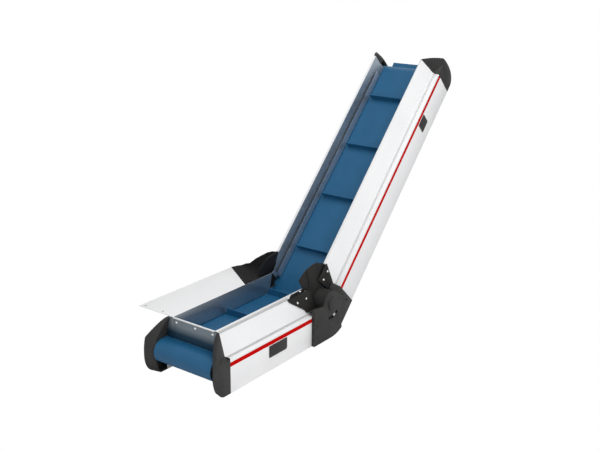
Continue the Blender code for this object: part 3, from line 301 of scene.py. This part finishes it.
def finish_mesh(obj, surface, sharp=35.0):
    only(obj)
    bpy.ops.object.shade_smooth_by_angle(angle=radians(sharp))
    dress(obj, surface)
    return obj


def rounded(obj, width, segments=2, limit=30.0):
    """Small worn radius on every edge sharper than the limit."""
    only(obj)
    edge = obj.modifiers.new("edge_radius", "BEVEL")
    edge.width = width
    edge.segments = segments
    edge.limit_method = "ANGLE"
    edge.angle_limit = radians(limit)
    edge.use_clamp_overlap = True
    bpy.ops.object.modifier_apply(modifier=edge.name)


def merged_copy(name, node):
    """Clean copy of a CAD node's mesh, its doubled vertices welded and flat faces whole."""
    obj = bpy.data.objects.new(name, NODES[node].data.copy())
    bpy.context.scene.collection.objects.link(obj)
    obj.data.name = name
    only(obj)
    if obj.data.has_custom_normals:
        bpy.ops.mesh.customdata_custom_splitnormals_clear()
    bpy.ops.object.mode_set(mode="EDIT")
    bpy.ops.mesh.select_all(action="SELECT")
    bpy.ops.mesh.remove_doubles(threshold=0.00002)
    bpy.ops.mesh.dissolve_limited(angle_limit=radians(0.6))
    bpy.ops.object.mode_set(mode="OBJECT")
    return obj


def softened(node, body, width, surface, segments=2):
    """A CAD piece with its edges rounded, standing for the sharp-edged one."""
    obj = merged_copy(f"{node}_moulded", node)
    rounded(obj, width, segments)
    finish_mesh(obj, surface)
    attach(obj, body)
    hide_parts(node)
    return obj


def placed(at, facing, spin=0.0):
    """Matrix that stands a piece modelled along +Z on a point, its +Z turned to a direction."""
    turn = Vector(facing).to_track_quat("Z", "Y").to_matrix().to_4x4()
    return Matrix.Translation(at) @ turn @ Matrix.Rotation(spin, 4, "Z")


def button_screw(name, radius, height, socket):
    """Button-head screw with a hexagon socket and a washer under it."""
    bpy.ops.object.select_all(action="DESELECT")
    bpy.ops.mesh.primitive_cylinder_add(vertices=36, radius=radius, depth=height,
                                        location=(0.0, 0.0, height / 2))
    head = bpy.context.object
    head.name = name
    bpy.ops.object.transform_apply(location=True)
    bm = bmesh.new()
    bm.from_mesh(head.data)
    rim = [e for e in bm.edges if all(v.co.z > height * 0.9 for v in e.verts)]
    bmesh.ops.bevel(bm, geom=rim, offset=height * 0.62, segments=5, profile=0.5, affect="EDGES")
    bm.to_mesh(head.data)
    bm.free()
    bpy.ops.object.select_all(action="DESELECT")
    bpy.ops.mesh.primitive_cylinder_add(vertices=6, radius=socket, depth=height,
                                        location=(0.0, 0.0, height * 0.95))
    hexagon = bpy.context.object
    only(head)
    hollow = head.modifiers.new("socket", "BOOLEAN")
    hollow.operation = "DIFFERENCE"
    hollow.solver = "EXACT"
    hollow.object = hexagon
    bpy.ops.object.modifier_apply(modifier=hollow.name)
    bpy.data.objects.remove(hexagon, do_unlink=True)
    bpy.ops.object.select_all(action="DESELECT")
    bpy.ops.mesh.primitive_cylinder_add(vertices=36, radius=radius * 1.18, depth=0.0010)
    washer = bpy.context.object
    rounded(washer, 0.0003, 2)
    bpy.ops.object.select_all(action="DESELECT")
    washer.select_set(True)
    head.select_set(True)
    bpy.context.view_layer.objects.active = head
    bpy.ops.object.join()
    return head


def settled(obj, place):
    """Moves a piece to its place and keeps that place in its mesh, the object itself at the origin."""
    obj.matrix_world = place
    only(obj)
    bpy.ops.object.transform_apply(location=True, rotation=True, scale=True)


def copies(model, prefix, surface, body, matrices):
    """Places copies of a modelled piece, each with its own mesh."""
    for number, matrix in enumerate(matrices, 1):
        obj = bpy.data.objects.new(f"{prefix}_{number}", model.data.copy())
        bpy.context.scene.collection.objects.link(obj)
        settled(obj, matrix)
        finish_mesh(obj, surface)
        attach(obj, body)


def on_level(x, y, z):
    return LEVEL @ Vector((x, y, z))


def on_slope(u, y, w):
    return INCLINE @ Vector((u, y, w))


def facing_out(section, side, lean=0.0):
    """Outward direction of a side face; a positive lean tips it upwards, as the sloping wall is."""
    return (section.to_3x3() @ Vector((0.0, side * cos(lean), sin(lean)))).normalized()


# ---------------------------------------------------------------- floor, light and camera
def plain_stage():
    bpy.ops.object.select_all(action="DESELECT")
    bpy.ops.mesh.primitive_plane_add(size=60.0, location=(0.0, 0.0, -0.001))
    floor = bpy.context.object
    floor.name = "studio_floor"
    surface, shader, nodes, links = new_surface("studio_white")
    shader.inputs["Base Color"].default_value = (0.86, 0.86, 0.86, 1.0)
    shader.inputs["Roughness"].default_value = 0.9
    shader.inputs["Specular IOR Level"].default_value = 0.1
    glow = nodes.new("ShaderNodeEmission")
    glow.inputs["Strength"].default_value = 1.0
    path = nodes.new("ShaderNodeLightPath")
    mix = nodes.new("ShaderNodeMixShader")
    links.new(path.outputs["Is Camera Ray"], mix.inputs["Fac"])
    links.new(shader.outputs[0], mix.inputs[1])
    links.new(glow.outputs[0], mix.inputs[2])
    links.new(mix.outputs[0], nodes["Material Output"].inputs["Surface"])
    floor.data.materials.append(surface)


def white_world():
    world = bpy.data.worlds.new("studio_world")
    bpy.context.scene.world = world
    world.use_nodes = True
    nodes, links = world.node_tree.nodes, world.node_tree.links
    shade = nodes["Background"]
    shade.inputs["Color"].default_value = (1.0, 1.0, 1.0, 1.0)
    shade.inputs["Strength"].default_value = 0.50
    seen = nodes.new("ShaderNodeBackground")
    seen.inputs["Color"].default_value = (1.0, 1.0, 1.0, 1.0)
    seen.inputs["Strength"].default_value = 1.0
    path = nodes.new("ShaderNodeLightPath")
    either = nodes.new("ShaderNodeMath")
    either.operation = "MAXIMUM"
    mix = nodes.new("ShaderNodeMixShader")
    links.new(path.outputs["Is Camera Ray"], either.inputs[0])
    links.new(path.outputs["Is Glossy Ray"], either.inputs[1])
    links.new(either.outputs[0], mix.inputs["Fac"])
    links.new(shade.outputs[0], mix.inputs[1])
    links.new(seen.outputs[0], mix.inputs[2])
    links.new(mix.outputs[0], nodes["World Output"].inputs["Surface"])


def soft_lamp(name, place, aim, size, power):
    lamp = bpy.data.lights.new(name, "AREA")
    lamp.shape = "SQUARE"
    lamp.size = size
    lamp.energy = power
    obj = bpy.data.objects.new(name, lamp)
    bpy.context.scene.collection.objects.link(obj)
    obj.location = place
    obj.rotation_euler = (Vector(aim) - Vector(place)).to_track_quat("-Z", "Y").to_euler()


def studio():
    plain_stage()
    white_world()
    soft_lamp("overhead", (0.0, -1.4, 4.0), (0.3, 0.0, 0.3), 2.6, 72.0)
    soft_lamp("front_left", (-2.6, -4.0, 2.2), (0.2, 0.0, 0.3), 2.4, 58.0)
    bpy.context.scene.view_settings.view_transform = "Standard"


def set_camera():
    yaw, pitch, roll = radians(36.45), radians(-17.61), radians(0.53)
    ahead = Vector((cos(pitch) * cos(yaw), cos(pitch) * sin(yaw), sin(pitch)))
    right = Vector((sin(yaw), -cos(yaw), 0.0))
    up = right.cross(ahead)
    right, up = cos(roll) * right + sin(roll) * up, cos(roll) * up - sin(roll) * right
    camera = bpy.data.objects.new("camera", bpy.data.cameras.new("camera"))
    bpy.context.scene.collection.objects.link(camera)
    turn = Matrix((right, up, -ahead)).transposed().to_4x4()
    camera.matrix_world = Matrix.Translation((-2.3175, -1.9573, 1.4543)) @ turn
    camera.data.lens = 54.28
    camera.data.sensor_width = 36.0
    bpy.context.scene.camera = camera


# ---------------------------------------------------------------- pieces of the frame, softened
# Edge radius of each piece that is made on both sides
LEVEL_SOFT = {"end_cap_tail": 0.0016, "knee_cover": 0.0010, "side_cover_base": 0.0007, "fan_base": 0.0006,
              "wing_base": 0.0007, "side_profile_base": 0.0006, "liner_base": 0.0004}
INCLINE_SOFT = {"end_cap_head": 0.0016, "knee_plate": 0.0009, "side_cover_incline": 0.0007,
                "fan_incline": 0.0006, "wing_incline": 0.0007, "side_profile_incline": 0.0006,
                "liner_incline": 0.0004, "lock_bolt": 0.0005}


def painted_lit_top(liner):
    """Faces that point up get the white surface and the upright faces keep the stainless: painted light on
    the top of one and the same sheet.
    """
    liner.data.materials.append(SURFACES["flange_painted_light"])
    for face in liner.data.polygons:
        # painted light: faces pointing up are made white
        if face.normal.z > 0.5:
            face.material_index = 1


def soften_frame():
    for body, parts in (("level_section", LEVEL_SOFT), ("incline_section", INCLINE_SOFT)):
        for part, width in parts.items():
            for name, _ in SIDES:
                node = f"{part}_{name}"
                made = softened(node, body, width, finish_of(node))
                if part == "liner_base":
                    painted_lit_top(made)
    softened("mount_rail", "level_section", 0.0010, "zinc_steel")
    softened("rear_plate", "level_section", 0.0003, "stainless_sheet")


def flexed(node, start, end, cuts):
    """A piece across the knee, cut across often enough to bend smoothly."""
    obj = merged_copy(f"{node}_flexing", node)
    shape = bmesh.new()
    shape.from_mesh(obj.data)
    along = (end - start).normalized()
    for i in range(1, cuts):
        spot = start.lerp(end, i / cuts)
        everything = shape.verts[:] + shape.edges[:] + shape.faces[:]
        bmesh.ops.bisect_plane(shape, geom=everything, plane_co=spot, plane_no=along, dist=0.00001)
    bmesh.ops.triangulate(shape, faces=[face for face in shape.faces if len(face.verts) > 4])
    shape.to_mesh(obj.data)
    shape.free()
    finish_mesh(obj, slot_of(node))
    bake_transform(obj)
    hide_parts(node)


def flexing_pieces():
    """The belt's two bends and the corner sheet, cut across where the knee bends them."""
    flexed("belt_knee_top", on_level(FLEX_START, 0.0, BELT_PLANE), on_slope(FLEX_END, 0.0, BELT_PLANE), 24)
    flexed("belt_knee_return", on_level(-RETURN_FLEX, 0.0, RETURN_PLANE),
           on_slope(RETURN_FLEX, 0.0, RETURN_PLANE), 16)
    flexed("corner_flange_far", on_level(-FLANGE_FLEX, 0.18, LIP_TOP),
           on_slope(FLANGE_FLEX, 0.18, LIP_TOP), 30)


# ---------------------------------------------------------------- screws
def wall_face(z):
    """Outer face of a plate on the sloping wall at a height above the pivot."""
    return WALL_AT_PIVOT - WALL_SLOPE * z + GUARD_THICK


def side_screws():
    """Pale screws on the wings and the lip's tab, dark ones on the knee's covers and plates."""
    lean = atan(WALL_SLOPE)
    wing_level, wing_slope, cover, plate = [], [], [], []
    for _, side in SIDES:
        tipped = facing_out(LEVEL, side, lean)
        for x, z in ((-0.096, 0.039), (-0.150, 0.039)):
            wing_level.append(placed(on_level(x, side * wall_face(z), z), tipped, x * 40))
        tipped = facing_out(INCLINE, side, lean)
        for u, w in ((0.105, 0.044), (0.0685, 0.044)):
            wing_slope.append(placed(on_slope(u, side * wall_face(w), w), tipped, u * 30))
        for x, z in ((-0.094, -0.060), (-0.094, -0.106)):
            cover.append(placed(on_level(x, side * COVER_OUTSIDE, z), facing_out(LEVEL, side), z * 50))
        for u, w in ((0.066, -0.052), (0.063, -0.094)):
            plate.append(placed(on_slope(u, side * PLATE_OUTSIDE, w), facing_out(INCLINE, side), w * 50))
    lip = [placed(on_level(-0.1142, -0.1110, LIP_TOP + 0.0014), (0.0, 0.0, 1.0), 0.4)]
    pale = button_screw("pale_button_screw", 0.0038, 0.0024, 0.0014)
    copies(pale, "wing_screw_level", "screw_pale", "level_section", wing_level + lip)
    copies(pale, "wing_screw_incline", "screw_pale", "incline_section", wing_slope)
    bpy.data.objects.remove(pale, do_unlink=True)
    dark = button_screw("dark_button_screw", 0.0036, 0.0018, 0.0014)
    copies(dark, "cover_screw", "screw_dark", "level_section", cover)
    copies(dark, "plate_screw", "screw_dark", "incline_section", plate)
    bpy.data.objects.remove(dark, do_unlink=True)


def tail_screws():
    """Two grey screws at the flange's tail end and three pale ones on the rear plate."""
    small = button_screw("flange_screw", 0.0034, 0.0014, 0.0012)
    spots = []
    for y, spin in ((0.242, 0.2), (0.157, 0.9)):
        spots.append(placed((-0.2545, y, KNEE.z + LIP_TOP), (0.0, 0.0, 1.0), spin))
    copies(small, "flange_screw", "screw_grey", "level_section", spots)
    bpy.data.objects.remove(small, do_unlink=True)
    back = button_screw("rear_plate_screw", 0.0042, 0.0030, 0.0016)
    spots = []
    for y, z in ((0.078, 0.192), (-0.009, 0.193), (-0.088, 0.193)):
        spots.append(placed((-0.2695, y, z), (-1.0, 0.0, 0.0), 0.3 + 9 * y))
    copies(back, "rear_plate_screw", "screw_pale", "level_section", spots)
    bpy.data.objects.remove(back, do_unlink=True)


def long_bar(name, section, x, y, z, surface, body, radius=0.0003):
    """Straight bar along a section, given by its low and high x, y and height above the pivot."""
    bpy.ops.object.select_all(action="DESELECT")
    middle = [(a + b) / 2 for a, b in (x, y, z)]
    size = [abs(b - a) for a, b in (x, y, z)]
    bpy.ops.mesh.primitive_cube_add(size=1.0, location=middle, scale=size)
    bar = bpy.context.object
    bar.name = name
    bpy.ops.object.transform_apply(location=True, scale=True)
    rounded(bar, radius, 2)
    settled(bar, section)
    finish_mesh(bar, surface)
    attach(bar, body)
    return bar


def painted_shade_strips():
    """Grey strip under the near lip and a strip in each shoulder groove, each a painted shade: grey on the
    level section, paler on the incline.
    """
    # painted shade: grey strip standing for the shadow under the near lip
    long_bar("lip_shade_strip_near", LEVEL, (-0.568, -0.205), (-0.1186, -0.1172), (0.0640, 0.0665), "grey_painted_shade",
             "level_section")
    grooves = (("level", LEVEL, (-0.568, -0.112), "grey_painted_shade", "level_section"),
               ("incline", INCLINE, (0.082, 1.096), "pale_painted_shade", "incline_section"))
    # painted shade in the shoulder grooves, darker on the level section than on the incline
    for name, side in SIDES:
        for place, section, x, surface, body in grooves:
            y = sorted((side * 0.1414, side * 0.1458))
            long_bar(f"shoulder_shade_strip_{place}_{name}", section, x, y, (-0.0209, -0.0140), surface,
                     body, 0.0002)


def rear_hem_highlight():
    """Pale strip folded over the rear plate's top, white as a painted highlight on the plate's hemmed edge.
    """
    bpy.ops.object.select_all(action="DESELECT")
    bpy.ops.mesh.primitive_cube_add(size=1.0, location=(-0.26805, 0.0, 0.2062),
                                    scale=(0.0052, 0.1914, 0.0034))
    trim = bpy.context.object
    trim.name = "rear_hem_highlight_strip"
    bpy.ops.object.transform_apply(location=True, scale=True)
    bpy.ops.object.select_all(action="DESELECT")
    bpy.ops.mesh.primitive_cube_add(size=1.0, location=(-0.26780, 0.0, 0.2035), scale=(0.0036, 0.3, 0.0060))
    slot = bpy.context.object
    only(trim)
    cut = trim.modifiers.new("plate_slot", "BOOLEAN")
    cut.operation = "DIFFERENCE"
    cut.solver = "EXACT"
    cut.object = slot
    bpy.ops.object.modifier_apply(modifier=cut.name)
    bpy.data.objects.remove(slot, do_unlink=True)
    rounded(trim, 0.0005, 2)
    # painted highlight: white for the lit hem along the plate's top
    finish_mesh(trim, "white_profile")
    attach(trim, "level_section")


def sheet(name, outline, low, thick, section, turned, surface, body, radius=0.0002):
    """Thin flat piece cut to an outline, its face turned to the section's x, y or z."""
    bpy.ops.object.select_all(action="DESELECT")
    bpy.ops.mesh.primitive_circle_add(vertices=len(outline), radius=0.1, fill_type="NGON")
    piece = bpy.context.object
    piece.name = name
    for corner, (a, b) in zip(piece.data.vertices, outline):
        corner.co = {"x": (low, a, b), "y": (a, low, b), "z": (a, b, low)}[turned]
    only(piece)
    bpy.ops.object.mode_set(mode="EDIT")
    bpy.ops.mesh.select_all(action="SELECT")
    bpy.ops.mesh.normals_make_consistent(inside=False)
    bpy.ops.object.mode_set(mode="OBJECT")
    depth = piece.modifiers.new("thickness", "SOLIDIFY")
    depth.thickness = thick
    depth.offset = 0.0
    bpy.ops.object.modifier_apply(modifier=depth.name)
    rounded(piece, radius, 2)
    settled(piece, section)
    finish_mesh(piece, surface)
    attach(piece, body)
    return piece


def tail_and_knee_seals():
    """Rubber flap in each gap at the knee, and thin sheets between the profiles' ends and the tail caps."""
    thin, edge = 0.0002, 0.00005
    flap = [(-0.0175, 0.0640), (0.0108, 0.0352), (-0.0290, 0.0055)]
    wall = [(0.0957, 0.1315), (0.1318, 0.1315), (0.1118, 0.2035), (0.0957, 0.2035)]
    ring = [(0.1318, 0.0012), (0.1625, 0.0012), (0.1625, 0.1280), (0.1318, 0.1280), (0.1318, 0.1055),
            (0.1570, 0.1055), (0.1570, 0.0655), (0.1318, 0.0655)]
    for name, side in SIDES:
        sheet(f"knee_flap_{name}", flap, side * 0.0952, 0.0009, LEVEL, "y", "rubber_sheet",
              "level_section")
        sheet(f"rear_seal_{name}", [(side * y, z) for y, z in wall], TAIL_JOINT, thin, WORLD, "x",
              "rear_steel_belt_reflection", "level_section", edge)
        sheet(f"cap_gasket_{name}", [(side * y, z) for y, z in ring], TAIL_JOINT, thin, WORLD, "x",
              "rubber_sheet", "level_section", edge)


def near_lip():
    """Black tab where the near lip meets the knee's guard, and the grey band of painted shade along the rest
    of it.
    """
    tab = [(-0.0886, -0.1025), (-0.1620, -0.1045), (-0.1900, -0.1189), (-0.0886, -0.1189)]
    sheet("lip_tab_near", tab, LIP_TOP + 0.0006, 0.0012, LEVEL, "z", "rubber_sheet",
          "level_section", 0.0002)
    # painted shade: grey band laid on the lip's top
    band = [(-0.1925, -0.1090), (-0.5660, -0.1090), (-0.5660, -0.1188), (-0.1925, -0.1188)]
    sheet("lip_shade_band_near", band, LIP_TOP + 0.0004, 0.0006, LEVEL, "z", "grey_painted_shade",
          "level_section", 0.0001)
    long_bar("lip_tab_edge", LEVEL, (-0.1900, -0.0998), (-0.1202, -0.1192), (0.0665, 0.0692), "rubber_sheet",
             "level_section", 0.0002)


def incline_skirts():
    """Strip along the foot of each incline liner, lighter than the liner as a painted light band, and the
    plate that closes its lower end.
    """
    for name, side in SIDES:
        y = sorted((side * 0.09965, side * 0.09980))
        long_bar(f"belt_skirt_{name}", INCLINE, (0.0545, 1.0500), y, (-0.0086, 0.0250), "skirt_steel_painted_light",
                 "incline_section", 0.00003)
    toe = [(0.0322, 0.0180), (0.0322, 0.0570), (0.0470, 0.0570), (0.0520, 0.0180)]
    for name, side in SIDES:
        sheet(f"liner_toe_{name}", toe, side * 0.0988, 0.0008, INCLINE, "y", "stainless_incline_shaded",
              "incline_section", 0.0001)


set_camera()
studio()
dress_frame()
soften_frame()
flexing_pieces()
side_screws()
tail_screws()
rear_hem_highlight()
painted_shade_strips()
tail_and_knee_seals()
near_lip()
incline_skirts()
